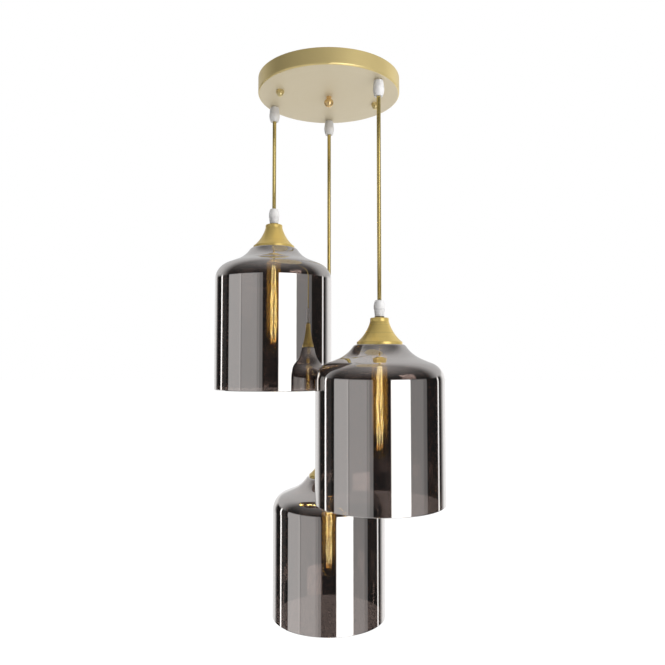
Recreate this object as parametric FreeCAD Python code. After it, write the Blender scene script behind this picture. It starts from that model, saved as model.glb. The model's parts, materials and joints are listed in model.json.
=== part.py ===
import FreeCAD, Part
import math
import os
from FreeCAD import Vector

# A cluster pendant: three smoked glass cloches on straight gold cables under one round canopy.
# Millimetres, +Z up. The origin is on the ceiling, on the canopy's axis, so the part hangs below z = 0.
# A pendant's own heights are measured up from the foot of its cap, where the cap stands on the glass.

os.makedirs("parts", exist_ok=True)

# ---------------------------------------------------------------- driving sizes

# glass cloche
shade_r = 105.5            # outer radius of the straight wall
shade_h = 256.5            # from the flat top of the neck down to the rim
glass_t = 3.0              # thickness of the glass
neck_flat_r = 38.5         # radius of the flat top
neck_corner = 5.0          # how far the rounded corner runs out past the flat
neck_steep = 56.0          # steepest slope of the neck, degrees below level
shoulder_r = 68.5          # where the hollow of the neck runs into the shoulder
shoulder_slope = 22.0      # slope of the shoulder, degrees below level
shoulder_round = 31.2      # radius of the round between shoulder and wall

# cap over the neck
cap_h = 44.0
cap_top_r = 15.4
cap_foot_r = 37.4
cap_sheet = 1.0            # thickness of the spun metal
cap_corner = 2.0           # outer radius of the top corner
cap_lip_h = 3.6            # height of the straight lip at the foot
cap_straight = 6.0         # depth of the nearly straight part under the top
cap_flare_bow = 2.8        # how far the flare is hollow from its chord

# cable and its fittings
cable_r = 3.4
cable_play = 0.3           # gap round the cable in every bore
thread_play = 0.05         # gap of a screwed or close fit, on the radius
hole_play = 0.2            # gap of a fixing hole, on the radius
nipple_r = 5.0
nipple_end = 8.0           # threaded length inside a cord grip
nipple_tail = 7.0          # length of a nipple past its collar on the sheet's side
upper_collar_r = 5.8       # collar between the canopy's face and its cord grip
lower_collar_r = 8.0       # collar between a cap and its cord grip
collar_h = 2.4
grip_r = 9.4
grip_h = 26.5
grip_foot_r = 7.8
grip_mouth_r = 6.4
grip_widest = 12.5         # distance of the widest ring from the grip's foot
grip_lead_h = 1.2          # rounded end at the grip's mouth
rib_count = 5
rib_depth = 0.6
grip_screw_r = 2.0
grip_screw_at = 17.5       # distance of the screw from the grip's foot
grip_screw_out = 8.9       # how far out the screw's head reaches from the cable's axis
slot_w = 0.8
slot_depth = 0.7
pivot_drop = 0.3           # the cable bends this far under the mouth of its upper grip

# canopy
canopy_depth = 28.0
canopy_sheet = 1.2
canopy_corner = 3.0
canopy_edge = 6.4          # from a cord grip's widest ring to the canopy's side
neighbour_gap = 5.0        # between the high and the middle shade, which overlap in height
high_angle = 157.0         # place of each cable on the hole circle, degrees from +X
middle_angle = -40.0
low_angle = 90.0
nipple_nut_af = 14.0       # across flats
nipple_nut_h = 3.0

# heights of the three caps' feet below the ceiling
high_drop = 293.0
middle_drop = 472.0
low_drop = 716.0

# ceiling bracket and its fixings
bracket_angle = 18.1       # the bracket's length points this way from +X, degrees
bracket_w = 22.0
bracket_sheet = 2.0
bracket_step = 6.0         # the ends stand this far off the ceiling
bracket_flat = 34.0        # half length of the middle that lies on the ceiling
bracket_end = 11.0         # from a stud to the bracket's end
fixing_pcd = 50.0          # circle of the two ceiling screws
fixing_r = 2.75
stud_r = 3.0
stud_reach = 89.0          # from the canopy's axis to each stud
stud_proud = 1.0           # thread standing past the bracket, above
nut_af = 10.0
nut_h = 5.0
acorn_h = 11.0
acorn_af = 12.0            # across flats of a cap nut
acorn_wall = 1.6           # metal over a stud's end
finial_r = 8.4
finial_h = 18.5
finial_neck_r = 5.0
finial_neck_h = 2.6
finial_bore = 10.0

# wiring in the canopy
core_r = 0.9
core_pitch = 2.3
core_bend = 2.0            # bend radius of a core
sheath_rise = 1.0          # outer sheath left standing above each nipple
block_l = 34.0
block_w = 17.0
block_h = 14.0
block_at = 45.0            # from the canopy's axis, along the bracket
pole_pitch = 10.0
entry_r = 2.4
entry_depth = 5.0
clamp_screw_r = 1.4
block_screw_r = 1.5
block_head_r = 2.8
block_head_h = 2.0
lane_gap = 2.5             # between neighbouring cores beside the terminal block
core_rise = 1.2            # each of the two levels of cores lies this far from the entries' axis
tag_t = 0.8
tag_r = 6.0
tag_w = 5.0
tag_tongue = 12.0
barrel_l = 6.0
barrel_r = 1.9

# lampholder and what clamps the glass
holder_r = 20.0
holder_neck_r = 12.0
holder_neck_h = 10.0
holder_taper_h = 11.0
holder_below = 20.0        # the skirt's reach below the cap's foot
glass_play = 0.5           # gap round the lampholder in the glass
holder_floor = 14.0        # underside of the insulating floor above the cap's foot
holder_floor_t = 3.0
wiring_r = 11.0
wiring_h = 10.0
wiring_top_r = 7.0
shell_t = 0.6
shell_top = 10.0
shell_below = 17.0
shell_room_r = 14.6        # radius of the lampholder's room for the screw shell
gasket_t = 1.0
gasket_in = 21.2
ring_r = 26.6
ring_below = 21.6          # the shade ring's reach below the cap's foot
ring_sheet = 1.6
ring_corner = 6.0
ring_web = 2.4
contact_w = 6.0
contact_t = 0.5
contact_drop = 3.5
contact_foot = 9.0

# bulb
base_thread_r = 13.2
base_root_r = 12.5
base_turns = 5
base_turn_pitch = 3.6
base_collar_h = 3.0
tip_r = 4.75
tip_h = 1.5
insulator_h = 3.2
insulator_r = 10.2
contact_gap = 0.3          # between the bulb's tip and the contact
bulb_r = 13.0
bulb_neck_r = 11.7
bulb_neck_h = 7.0
bulb_wall = 0.9
bulb_reach = 187.0         # the bulb's tip below the cap's foot
bulb_seat = 3.5            # depth of the glass in its base
stem_r = 1.7
stem_flare_h = 8.0
stem_l = 15.0
wire_r = 0.45
strand_r = 0.6
strand_count = 6
stem_ring_r = 2.8
tip_ring_r = 4.5
strand_twist = 35.0        # how far a strand turns round the stem on its way down, degrees
tip_ring_gap = 16.0

# ---------------------------------------------------------------- worked out from them

half_span = math.radians(high_angle - middle_angle) / 2
hole_circle_r = (shade_r + neighbour_gap / 2) / math.sin(half_span)
canopy_r = hole_circle_r + grip_r + canopy_edge
face_z = -canopy_depth
inner_face_z = face_z + canopy_sheet
bore_r = cable_r + cable_play
collar_z = face_z - collar_h
mouth_z = collar_z - grip_h
pivot_z = mouth_z - pivot_drop
nipple_top_z = face_z + nipple_tail
sheath_end_z = nipple_top_z + sheath_rise
block_top_z = -bracket_step - bracket_sheet
entry_z = block_top_z - block_h / 2
shell_r = shell_room_r - thread_play
contact_z = holder_floor - contact_drop
tip_z = contact_z - contact_gap
base_top = tip_z - tip_h - insulator_h
base_foot = base_top - base_turns * base_turn_pitch - base_collar_h
grip_top = cap_h + collar_h + grip_h

PENDANTS = [
    ("high", high_angle, high_drop),
    ("middle", middle_angle, middle_drop),
    ("low", low_angle, low_drop),
]

# ---------------------------------------------------------------- helpers


def line(a, b):
    return Part.LineSegment(a, b).toShape()


def outline_wire(steps):
    """Closed wire in the XZ plane. A step is (r, z), or (r, z, (rm, zm)) for an arc through that point."""
    edges = []
    here = Vector(steps[0][0], 0, steps[0][1])
    for step in steps[1:] + [steps[0][:2]]:
        there = Vector(step[0], 0, step[1])
        if len(step) == 3:
            middle = Vector(step[2][0], 0, step[2][1])
            edges.append(Part.Arc(here, middle, there).toShape())
        elif here.distanceToPoint(there) > 1e-6:
            edges.append(line(here, there))
        here = there
    return Part.Wire(edges)


def turned(steps, x=0.0, y=0.0, z=0.0):
    """Solid of revolution of an outline of radius and height, standing at x, y, z."""
    solid = Part.Face(outline_wire(steps)).revolve(Vector(0, 0, 0), Vector(0, 0, 1), 360)
    solid.translate(Vector(x, y, z))
    return solid


def rod(r, x, y, z_low, z_high):
    return Part.makeCylinder(r, z_high - z_low, Vector(x, y, z_low))


def tube(r_out, r_in, x, y, z_low, z_high):
    return rod(r_out, x, y, z_low, z_high).cut(rod(r_in, x, y, z_low - 1, z_high + 1))


def hexagon(af, x, y, z_low, z_high):
    """Hexagonal prism, given by its width across flats."""
    corner = af / math.sqrt(3)
    points = []
    for k in range(7):
        turn = math.radians(60 * k)
        points.append(Vector(x + corner * math.cos(turn), y + corner * math.sin(turn), z_low))
    return Part.Face(Part.makePolygon(points)).extrude(Vector(0, 0, z_high - z_low))


def nut(af, bore, x, y, z_low, z_high):
    """Hexagon nut with its corners bevelled by a cone above and below."""
    h = z_high - z_low
    corner = af / math.sqrt(3)
    bevel = (corner - af / 2) * 0.8
    body = turned([(0, 0), (corner - bevel, 0), (corner, bevel * 0.6), (corner, h - bevel * 0.6),
                   (corner - bevel, h), (0, h)], x, y, z_low)
    body = body.common(hexagon(af, x, y, z_low, z_high))
    return body.cut(rod(bore, x, y, z_low - 1, z_high + 1))


def between(a, b, r):
    """Straight rod of radius r from point a to point b."""
    return Part.makeCylinder(r, a.distanceToPoint(b), a, b - a)


def routed(points, r, bend):
    """Round wire along straight runs, joined by tangent arcs of radius bend."""
    edges = []
    here = points[0]
    for k in range(1, len(points) - 1):
        corner = points[k]
        back = (points[k - 1] - corner).normalize()
        on = (points[k + 1] - corner).normalize()
        turn = math.pi - back.getAngle(on)
        cut = bend * math.tan(turn / 2)
        start = corner + back * cut
        end = corner + on * cut
        middle_way = (back + on).normalize()
        middle = corner + middle_way * (bend / math.cos(turn / 2) - bend)
        edges.append(line(here, start))
        edges.append(Part.Arc(start, middle, end).toShape())
        here = end
    edges.append(line(here, points[-1]))
    path = Part.Wire(edges)
    ring = Part.Wire(Part.Circle(points[0], points[1] - points[0], r).toShape())
    return path.makePipeShell([ring], True, False)


def save(name, solids):
    if not isinstance(solids, (list, tuple)):
        solids = [solids]
    whole = solids[0] if len(solids) == 1 else Part.makeCompound(solids)
    for solid in whole.Solids:
        if not solid.isValid():
            print("not valid:", name)
    if len(whole.Solids) != len(solids):
        print("pieces fell apart or together:", name, len(whole.Solids), len(solids))
    whole.exportStep("parts/" + name + ".step")


def hole_at(angle):
    turn = math.radians(angle)
    return hole_circle_r * math.cos(turn), hole_circle_r * math.sin(turn)


def along(s, v, z):
    """A point given along and across the bracket, as a vector in the part's frame."""
    turn = math.radians(bracket_angle)
    return Vector(s * math.cos(turn) - v * math.sin(turn), s * math.sin(turn) + v * math.cos(turn), z)


HOLES = [hole_at(angle) for _, angle, _ in PENDANTS]
STUDS = [along(-stud_reach, 0, 0), along(stud_reach, 0, 0)]

# ---------------------------------------------------------------- canopy


def canopy_pan():
    """Spun pan, open to the ceiling, with holes for the cables, the studs and the centre rod."""
    t = canopy_sheet
    c = canopy_corner
    ci = canopy_corner - canopy_sheet
    diag = math.sqrt(0.5)
    centre_r = canopy_r - c
    centre_z = face_z + c
    pan = turned([
        (0, face_z), (centre_r, face_z),
        (canopy_r, centre_z, (centre_r + c * diag, centre_z - c * diag)),
        (canopy_r, 0), (canopy_r - t, 0), (canopy_r - t, centre_z),
        (centre_r, face_z + t, (centre_r + ci * diag, centre_z - ci * diag)),
        (0, face_z + t),
    ])
    for x, y in HOLES:
        pan = pan.cut(rod(nipple_r + hole_play, x, y, face_z - 1, inner_face_z + 1))
    for at in STUDS + [Vector(0, 0, 0)]:
        pan = pan.cut(rod(stud_r + hole_play, at.x, at.y, face_z - 1, inner_face_z + 1))
    return pan


def ceiling_bracket():
    """Joggled steel strap. Its middle lies on the ceiling and its two ends stand off it."""
    t = bracket_sheet
    flat = bracket_flat
    ramp = flat + bracket_step
    tip = stud_reach + bracket_end
    lean = t * math.tan(math.radians(22.5))
    upper = [(-tip, -bracket_step), (-ramp, -bracket_step), (-flat, 0), (flat, 0),
             (ramp, -bracket_step), (tip, -bracket_step)]
    lower = [(tip, -bracket_step - t), (ramp - lean, -bracket_step - t), (flat - lean, -t),
             (-flat + lean, -t), (-ramp + lean, -bracket_step - t), (-tip, -bracket_step - t)]
    points = [Vector(s, -bracket_w / 2, z) for s, z in upper + lower]
    strap = Part.Face(Part.makePolygon(points + [points[0]])).extrude(Vector(0, bracket_w, 0))
    deep = bracket_step + t + 2
    plan = Part.makeBox(2 * stud_reach, bracket_w, deep, Vector(-stud_reach, -bracket_w / 2, -deep + 1))
    for end in (-stud_reach, stud_reach):
        plan = plan.fuse(Part.makeCylinder(bracket_w / 2, deep, Vector(end, 0, -deep + 1)))
    strap = strap.common(plan.removeSplitter())
    for s, r in ((-stud_reach, stud_r + thread_play), (stud_reach, stud_r + thread_play),
                 (0, stud_r + thread_play), (-fixing_pcd / 2, fixing_r), (fixing_pcd / 2, fixing_r),
                 (block_at + pole_pitch / 2, block_screw_r + thread_play)):
        strap = strap.cut(Part.makeCylinder(r, deep, Vector(s, 0, -deep + 1)))
    strap.rotate(Vector(0, 0, 0), Vector(0, 0, 1), bracket_angle)
    return strap


def bracket_studs():
    """Two studs that carry the canopy, and the centre rod that carries the finial."""
    low = face_z - acorn_h + acorn_wall + 0.5
    solids = [rod(stud_r, at.x, at.y, low, -bracket_step + stud_proud) for at in STUDS]
    solids.append(rod(stud_r, 0, 0, face_z - finial_bore + 0.5, -0.3))
    return solids


def bracket_nuts():
    solids = []
    for at in STUDS:
        solids.append(nut(nut_af, stud_r + thread_play, at.x, at.y, block_top_z - nut_h, block_top_z))
    high = -bracket_sheet - tag_t
    solids.append(nut(nut_af, stud_r + thread_play, 0, 0, high - nut_h, high))
    return solids


def acorn(at):
    """Domed cap nut under the canopy's face."""
    hex_h = acorn_h * 0.5
    corner = acorn_af / math.sqrt(3)
    dome_r = acorn_af / 2 - 0.3
    dome_h = acorn_h - hex_h
    body = turned([(0, -acorn_h),
                   (dome_r, -hex_h, (dome_r * 0.74, -hex_h - dome_h * 0.7)),
                   (corner - 0.6, -hex_h), (corner, -hex_h + 0.5), (corner, 0), (0, 0)],
                  at.x, at.y, face_z)
    body = body.common(hexagon(acorn_af, at.x, at.y, face_z - acorn_h, face_z))
    return body.cut(rod(stud_r + thread_play, at.x, at.y, face_z - acorn_h + acorn_wall, face_z + 1))


def centre_finial():
    """Ball finial with a short neck, screwed on the centre rod."""
    half = (finial_h - finial_neck_h) / 2
    middle_z = -finial_neck_h - half
    reach = math.sqrt(1 - (finial_neck_r * 0.8 / finial_r) ** 2)
    top_z = middle_z + half * reach
    body = turned([
        (0, middle_z - half),
        (finial_r, middle_z, (finial_r * 0.72, middle_z - half * 0.7)),
        (finial_neck_r * 0.8, top_z, (finial_r * 0.9, middle_z + half * 0.45)),
        (finial_neck_r * 0.8, -finial_neck_h * 0.5), (finial_neck_r, -finial_neck_h * 0.4),
        (finial_neck_r, 0), (0, 0),
    ], 0, 0, face_z)
    return body.cut(rod(stud_r + thread_play, 0, 0, face_z - finial_bore, face_z + 1))


def nipple(x, y, collar_foot, z_low, z_high, collar_r):
    """Hollow threaded nipple with a round collar whose lower face is at collar_foot."""
    body = rod(nipple_r, x, y, z_low, z_high).fuse(rod(collar_r, x, y, collar_foot, collar_foot + collar_h))
    return body.cut(rod(bore_r, x, y, z_low - 1, z_high + 1)).removeSplitter()


def cord_grip(x, y, foot_z, way):
    """Ribbed plastic grip. It grows from foot_z, up for way 1 and down for way -1, and narrows to its mouth."""
    steps = [(nipple_r + thread_play, 0), (grip_foot_r, 0)]
    pitch = grip_widest / rib_count
    for k in range(rib_count):
        share = (k + 0.5) / rib_count
        r = grip_foot_r + (grip_r - grip_foot_r) * share
        low = k * pitch
        steps += [(r, low + pitch * 0.2), (r, low + pitch * 0.7), (r - rib_depth, low + pitch * 0.8)]
        if k < rib_count - 1:
            steps.append((r - rib_depth, low + pitch * 1.1))
    lead = grip_h - grip_lead_h
    shoulder = grip_mouth_r + 0.9
    steps += [
        (grip_r, grip_widest),
        (shoulder, lead, ((grip_r + shoulder) / 2 + 0.7, (grip_widest + lead) / 2 + 0.7)),
        (grip_mouth_r, grip_h, (shoulder - 0.25, grip_h - 0.35)),
        (bore_r, grip_h), (bore_r, nipple_end + 0.5), (nipple_r + thread_play, nipple_end + 0.5),
    ]
    flipped = [(s[0], way * s[1]) + tuple((m[0], way * m[1]) for m in s[2:]) for s in steps]
    body = turned(flipped, x, y, foot_z)
    hole = Part.makeCylinder(grip_screw_r + thread_play, grip_r, Vector(x, y, foot_z + way * grip_screw_at),
                             Vector(0, 1, 0))
    return body.cut(hole)


def grip_screw(x, y, foot_z, way):
    """Plastic screw that presses on the cable, with a slot in its head."""
    tip = cable_r + thread_play
    z = foot_z + way * grip_screw_at
    body = Part.makeCylinder(grip_screw_r, grip_screw_out - tip, Vector(x, y + tip, z), Vector(0, 1, 0))
    slot = Part.makeBox(4 * grip_screw_r, 2 * slot_depth, slot_w,
                        Vector(x - 2 * grip_screw_r, y + grip_screw_out - slot_depth, z - slot_w / 2))
    return body.cut(slot)


def cable_tails():
    """The sheathed ends of the cables, held still in the upper grips and nipples."""
    low = pivot_z + cable_r + cable_play
    return [rod(cable_r, x, y, low, sheath_end_z) for x, y in HOLES]


# ---------------------------------------------------------------- wiring in the canopy


def pole(k):
    """Place of a terminal along the bracket: 0 earth, 1 neutral, 2 live."""
    return block_at + (k - 1) * pole_pitch


def terminal_block():
    low = along(0, 0, block_top_z - block_h)
    body = Part.makeBox(block_l, block_w, block_h,
                        Vector(block_at - block_l / 2, -block_w / 2, block_top_z - block_h))
    body = body.makeFillet(0.8, [e for e in body.Edges if abs(e.tangentAt(0).z) > 0.9])
    for k in range(3):
        entry = Part.makeCylinder(entry_r, block_w + 2, Vector(pole(k), -block_w / 2 - 1, entry_z),
                                  Vector(0, 1, 0))
        body = body.cut(entry)
        for side in (-1, 1):
            well = Part.makeCylinder(clamp_screw_r + thread_play, entry_z - low.z + 1,
                                     Vector(pole(k), side * block_w / 4, low.z - 1))
            body = body.cut(well)
    body = body.cut(Part.makeCylinder(block_screw_r + hole_play, block_h + 2,
                                      Vector(block_at + pole_pitch / 2, 0, low.z - 1)))
    body.rotate(Vector(0, 0, 0), Vector(0, 0, 1), bracket_angle)
    return body


def terminal_screws():
    """Six clamp screws in the block, and the screw that holds the block to the bracket."""
    foot_z = block_top_z - block_h
    solids = []
    for k in range(3):
        for side in (-1, 1):
            at = along(pole(k), side * block_w / 4, 0)
            solids.append(rod(clamp_screw_r, at.x, at.y, foot_z + 0.4, entry_z - core_rise - core_r - 0.3))
    at = along(block_at + pole_pitch / 2, 0, 0)
    shank = rod(block_screw_r, at.x, at.y, foot_z, -bracket_step + 0.5)
    solids.append(shank.fuse(rod(block_head_r, at.x, at.y, foot_z - block_head_h, foot_z)).removeSplitter())
    return solids


def canopy_leads():
    """Three cores from each cable to the block, and the core from the block's earth to the tag."""
    lower = entry_z - core_rise
    upper = entry_z + core_rise
    side = block_w / 2
    solids = []
    ways = ((HOLES[0], lower, "lane"), (HOLES[1], lower, "south"), (HOLES[2], upper, "north"))
    for (x, y), level, way in ways:
        for k in range(3):
            if way == "lane":
                step = along(0, (k - 1) * core_pitch, 0)
                lane = side + 3.5 + k * lane_gap
                turns = [along(block_at - block_l / 2 - 18, lane, level), along(pole(k), lane, level),
                         along(pole(k), side - entry_depth, level)]
            else:
                step = along((k - 1) * core_pitch, 0, 0)
                sign = 1 if way == "north" else -1
                turns = [along(pole(k), sign * (side + 17), level),
                         along(pole(k), sign * (side - entry_depth), level)]
            start = Vector(x, y, 0) + step
            foot = Vector(start.x, start.y, sheath_end_z)
            head = Vector(start.x, start.y, level)
            solids.append(routed([foot, head] + turns, core_r, core_bend))
    barrel_end = tag_tongue + barrel_l
    barrel_z = -bracket_sheet - tag_t - barrel_r
    out = block_at - block_l / 2 - 4
    solids.append(routed([
        along(barrel_end - barrel_l / 2, 0, barrel_z), along(out, 0, barrel_z),
        along(out, -side - 4, upper), along(pole(0), -side - 4, upper),
        along(pole(0), -side + entry_depth, upper),
    ], core_r, core_bend))
    return solids


def earth_tag():
    """Ring tag under the centre nut, with a crimp barrel for the earth core."""
    low = -bracket_sheet - tag_t
    body = Part.makeCylinder(tag_r, tag_t, Vector(0, 0, low))
    body = body.fuse(Part.makeBox(tag_tongue + barrel_l, tag_w, tag_t, Vector(0, -tag_w / 2, low)))
    body = body.fuse(Part.makeCylinder(barrel_r + 0.4, barrel_l, Vector(tag_tongue, 0, low - barrel_r),
                                       Vector(1, 0, 0)))
    body = body.cut(Part.makeBox(barrel_l, 2 * tag_w, bracket_sheet,
                                 Vector(tag_tongue, -tag_w, -bracket_sheet)))
    body = body.cut(Part.makeCylinder(core_r + thread_play, barrel_l + 2,
                                      Vector(tag_tongue - 1, 0, low - barrel_r), Vector(1, 0, 0)))
    body = body.cut(rod(stud_r + hole_play, 0, 0, low - 1, low + 2))
    fixing = Part.makeCylinder(fixing_r, 6, Vector(fixing_pcd / 2, 0, low - 3))
    body = body.cut(fixing).removeSplitter()
    body.rotate(Vector(0, 0, 0), Vector(0, 0, 1), bracket_angle)
    return body


# ---------------------------------------------------------------- one pendant


def cable(x, y, foot_z):
    """Free straight stretch between the grips. Its round top end sits at the bending point."""
    shank = rod(cable_r, x, y, foot_z + grip_top, pivot_z)
    return shank.fuse(Part.makeSphere(cable_r, Vector(x, y, pivot_z))).removeSplitter()


def lead_tail(x, y, foot_z):
    """Sheathed lead in the lower grip and nipple, and its two cores in the lampholder."""
    low = cap_h - nipple_tail - 0.5
    solids = [rod(cable_r, x, y, foot_z + low, foot_z + grip_top)]
    for side in (-1, 1):
        floor_z = foot_z + holder_floor + holder_floor_t
        solids.append(rod(core_r, x + side * core_pitch, y, floor_z, foot_z + low))
    return solids


def bowed(start, end, bow, away):
    """Middle point of an arc from start to end that stands off its chord by bow, moved out by away."""
    dr = end[0] - start[0]
    dz = end[1] - start[1]
    chord = math.hypot(dr, dz)
    nr, nz = dz / chord, -dr / chord
    return (start[0] + end[0]) / 2 + nr * (bow + away), (start[1] + end[1]) / 2 + nz * (bow + away)


def cap(x, y, foot_z):
    """Spun metal cap: flat top, hollow flare and a straight lip that stands on the glass."""
    t = cap_sheet
    start = (cap_top_r, cap_h - cap_straight)
    end = (cap_foot_r - 1.5, cap_lip_h + 1.5)
    angle = math.atan2(start[1] - end[1], end[0] - start[0])
    chord = math.hypot(end[0] - start[0], start[1] - end[1])
    half_turn = 2 * math.atan(2 * cap_flare_bow / chord)
    steep = angle + half_turn
    gentle = angle - half_turn
    start_in = (start[0] - t * math.sin(steep), start[1] - t * math.cos(steep))
    end_in = (end[0] - t * math.sin(gentle), end[1] - t * math.cos(gentle))
    middle = bowed(start, end, cap_flare_bow, 0)
    middle_in = bowed(start, end, cap_flare_bow, t)
    c = cap_corner
    ci = cap_corner - t
    diag = math.sqrt(0.5)
    return turned([
        (nipple_r + hole_play, cap_h), (cap_top_r - c, cap_h),
        (cap_top_r, cap_h - c, (cap_top_r - c + c * diag, cap_h - c + c * diag)),
        start,
        end + (middle,),
        (cap_foot_r, cap_lip_h, (cap_foot_r - 0.45, cap_lip_h + 1.0)),
        (cap_foot_r, 0), (cap_foot_r - t, 0), (cap_foot_r - t, cap_lip_h - 0.6),
        end_in,
        start_in + (middle_in,),
        (cap_top_r - t, cap_h - c),
        (cap_top_r - c, cap_h - t, (cap_top_r - c + ci * diag, cap_h - c + ci * diag)),
        (nipple_r + hole_play, cap_h - t),
    ], x, y, foot_z)


def shade_side(d):
    """Side of the cloche from its flat top to its wall, d inside the outer surface, as outline steps."""
    steep = math.radians(neck_steep)
    slope = math.radians(shoulder_slope)
    corner_r = neck_corner / math.sin(steep)
    corner_centre = (neck_flat_r, -corner_r)
    at = []
    for turn in (0, steep / 2, steep):
        at.append((corner_centre[0] + (corner_r - d) * math.sin(turn),
                   corner_centre[1] + (corner_r - d) * math.cos(turn)))
    hollow_from = (neck_flat_r + neck_corner, -corner_r + corner_r * math.cos(steep))
    hollow_r = (shoulder_r - hollow_from[0]) / (math.sin(steep) - math.sin(slope))
    hollow_centre = (hollow_from[0] + hollow_r * math.sin(steep),
                     hollow_from[1] + hollow_r * math.cos(steep))
    hollow = []
    for turn in (steep, (steep + slope) / 2, slope):
        hollow.append((hollow_centre[0] - (hollow_r + d) * math.sin(turn),
                       hollow_centre[1] - (hollow_r + d) * math.cos(turn)))
    hollow_end_z = hollow_centre[1] - hollow_r * math.cos(slope)
    round_from_r = shade_r - shoulder_round * (1 - math.sin(slope))
    round_from_z = hollow_end_z - (round_from_r - shoulder_r) * math.tan(slope)
    round_centre = (shade_r - shoulder_round, round_from_z - shoulder_round * math.cos(slope))
    rounded = []
    for turn in (slope, (slope + math.pi / 2) / 2, math.pi / 2):
        rounded.append((round_centre[0] + (shoulder_round - d) * math.sin(turn),
                        round_centre[1] + (shoulder_round - d) * math.cos(turn)))
    return [at, hollow, rounded]


def shade(x, y, foot_z):
    """Glass cloche with a flat necked top, an open foot and a rounded rim."""
    bore = holder_r + glass_play
    outside = shade_side(0)
    inside = shade_side(glass_t)
    steps = [(bore, -glass_t), (bore, 0)]
    for arc in outside:
        steps.append(arc[0])
        steps.append(arc[2] + (arc[1],))
    rim_r = glass_t / 2
    rim_z = -shade_h + rim_r
    steps.append((shade_r, rim_z))
    steps.append((shade_r - glass_t, rim_z, (shade_r - rim_r, -shade_h)))
    for arc in reversed(inside):
        steps.append(arc[2])
        steps.append(arc[0] + (arc[1],))
    return turned(steps, x, y, foot_z)


def gasket(x, y, foot_z):
    return tube(ring_r - 0.2, gasket_in, x, y, foot_z - glass_t - gasket_t, foot_z - glass_t)


def shade_ring(x, y, foot_z):
    """Cup ring screwed up the lampholder's skirt, its corner bevelled in two flats. It presses the glass
    up against the cap."""
    top = -glass_t - gasket_t
    c = ring_corner
    ci = ring_corner - ring_sheet
    diag = math.sqrt(0.5)
    low = -ring_below
    inner = holder_r + thread_play
    return turned([
        (inner, low), (ring_r - c, low),
        (ring_r - c + c * diag, low + c - c * diag), (ring_r, low + c),
        (ring_r, top), (ring_r - ring_sheet, top), (ring_r - ring_sheet, low + c),
        (ring_r - c + ci * diag, low + c - ci * diag), (ring_r - c, low + ring_sheet),
        (inner + ring_web * 0.8, low + ring_sheet), (inner + ring_web * 0.8, low + 3.5 * ring_web),
        (inner, low + 3.5 * ring_web),
    ], x, y, foot_z)


def lampholder(x, y, foot_z):
    """Moulded lampholder: neck on the nipple, wiring room, floor and a skirt with room for the shell."""
    top = cap_h - cap_sheet
    neck_foot = top - holder_neck_h
    floor_top = holder_floor + holder_floor_t
    return turned([
        (nipple_r + thread_play, top), (holder_neck_r, top), (holder_neck_r, neck_foot),
        (holder_r, neck_foot - holder_taper_h), (holder_r, -holder_below),
        (shell_room_r, -holder_below), (shell_room_r, holder_floor), (2.0, holder_floor),
        (2.0, floor_top), (wiring_r, floor_top), (wiring_r, floor_top + wiring_h),
        (wiring_top_r, neck_foot), (nipple_r + thread_play, neck_foot),
    ], x, y, foot_z)


def lampholder_contacts(x, y, foot_z):
    """Brass screw shell, and the sprung centre contact with its rivet through the floor."""
    shell = tube(shell_r, shell_r - shell_t, x, y, foot_z - shell_below, foot_z + shell_top)
    t = contact_t
    ceiling = holder_floor
    drop = contact_drop
    points = [(-2, ceiling), (contact_foot, ceiling), (contact_foot, ceiling - t), (3, ceiling - t),
              (3 - drop, ceiling - drop), (-contact_foot + 2, ceiling - drop),
              (-contact_foot + 2, ceiling - drop + t), (2.4 - drop, ceiling - drop + t), (2, ceiling - t),
              (-2, ceiling - t)]
    path = [Vector(x + px, y - contact_w / 2, foot_z + pz) for px, pz in points]
    spring = Part.Face(Part.makePolygon(path + [path[0]])).extrude(Vector(0, contact_w, 0))
    rivet = rod(2.0 - thread_play, x, y, foot_z + ceiling - t / 2, foot_z + ceiling + holder_floor_t)
    return [shell, spring.fuse(rivet).removeSplitter()]


def bulb_base(x, y, foot_z):
    """Screw base: contact tip, black insulator, rolled thread and a collar round the glass."""
    steps = [(0, tip_z), (tip_r - 0.8, tip_z), (tip_r, tip_z - tip_h), (insulator_r, base_top),
             (base_root_r, base_top)]
    for k in range(base_turns):
        high = base_top - k * base_turn_pitch
        steps.append((base_root_r, high - base_turn_pitch * 0.15))
        steps.append((base_root_r, high - base_turn_pitch * 0.85,
                      (base_thread_r, high - base_turn_pitch * 0.5)))
    seat_r = bulb_neck_r + thread_play
    steps += [(base_root_r, base_foot + base_collar_h), (base_thread_r, base_foot + base_collar_h - 0.6),
              (base_thread_r, base_foot), (seat_r, base_foot), (seat_r, base_foot + bulb_seat),
              (0, base_foot + bulb_seat)]
    return turned(steps, x, y, foot_z)


def bulb_glass(x, y, foot_z):
    """Tubular bulb with a narrow neck and a round end."""
    top = base_foot + bulb_seat
    t = bulb_wall
    wide = base_foot - bulb_neck_h
    end = -bulb_reach
    centre = end + bulb_r
    diag = math.sqrt(0.5)
    ri = bulb_r - t
    return turned([
        (bulb_neck_r - t, top), (bulb_neck_r, top), (bulb_neck_r, base_foot - 1.5),
        (bulb_r, wide, ((bulb_neck_r + bulb_r) / 2 + 0.2, (base_foot - 1.5 + wide) / 2)),
        (bulb_r, centre), (0, end, (bulb_r * diag, centre - bulb_r * diag)),
        (0, end + t), (ri, centre, (ri * diag, centre - ri * diag)),
        (ri, wide),
        (bulb_neck_r - t, base_foot - 1.5,
         ((bulb_neck_r + bulb_r) / 2 + 0.2 - t, (base_foot - 1.5 + wide) / 2)),
    ], x, y, foot_z)


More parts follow.
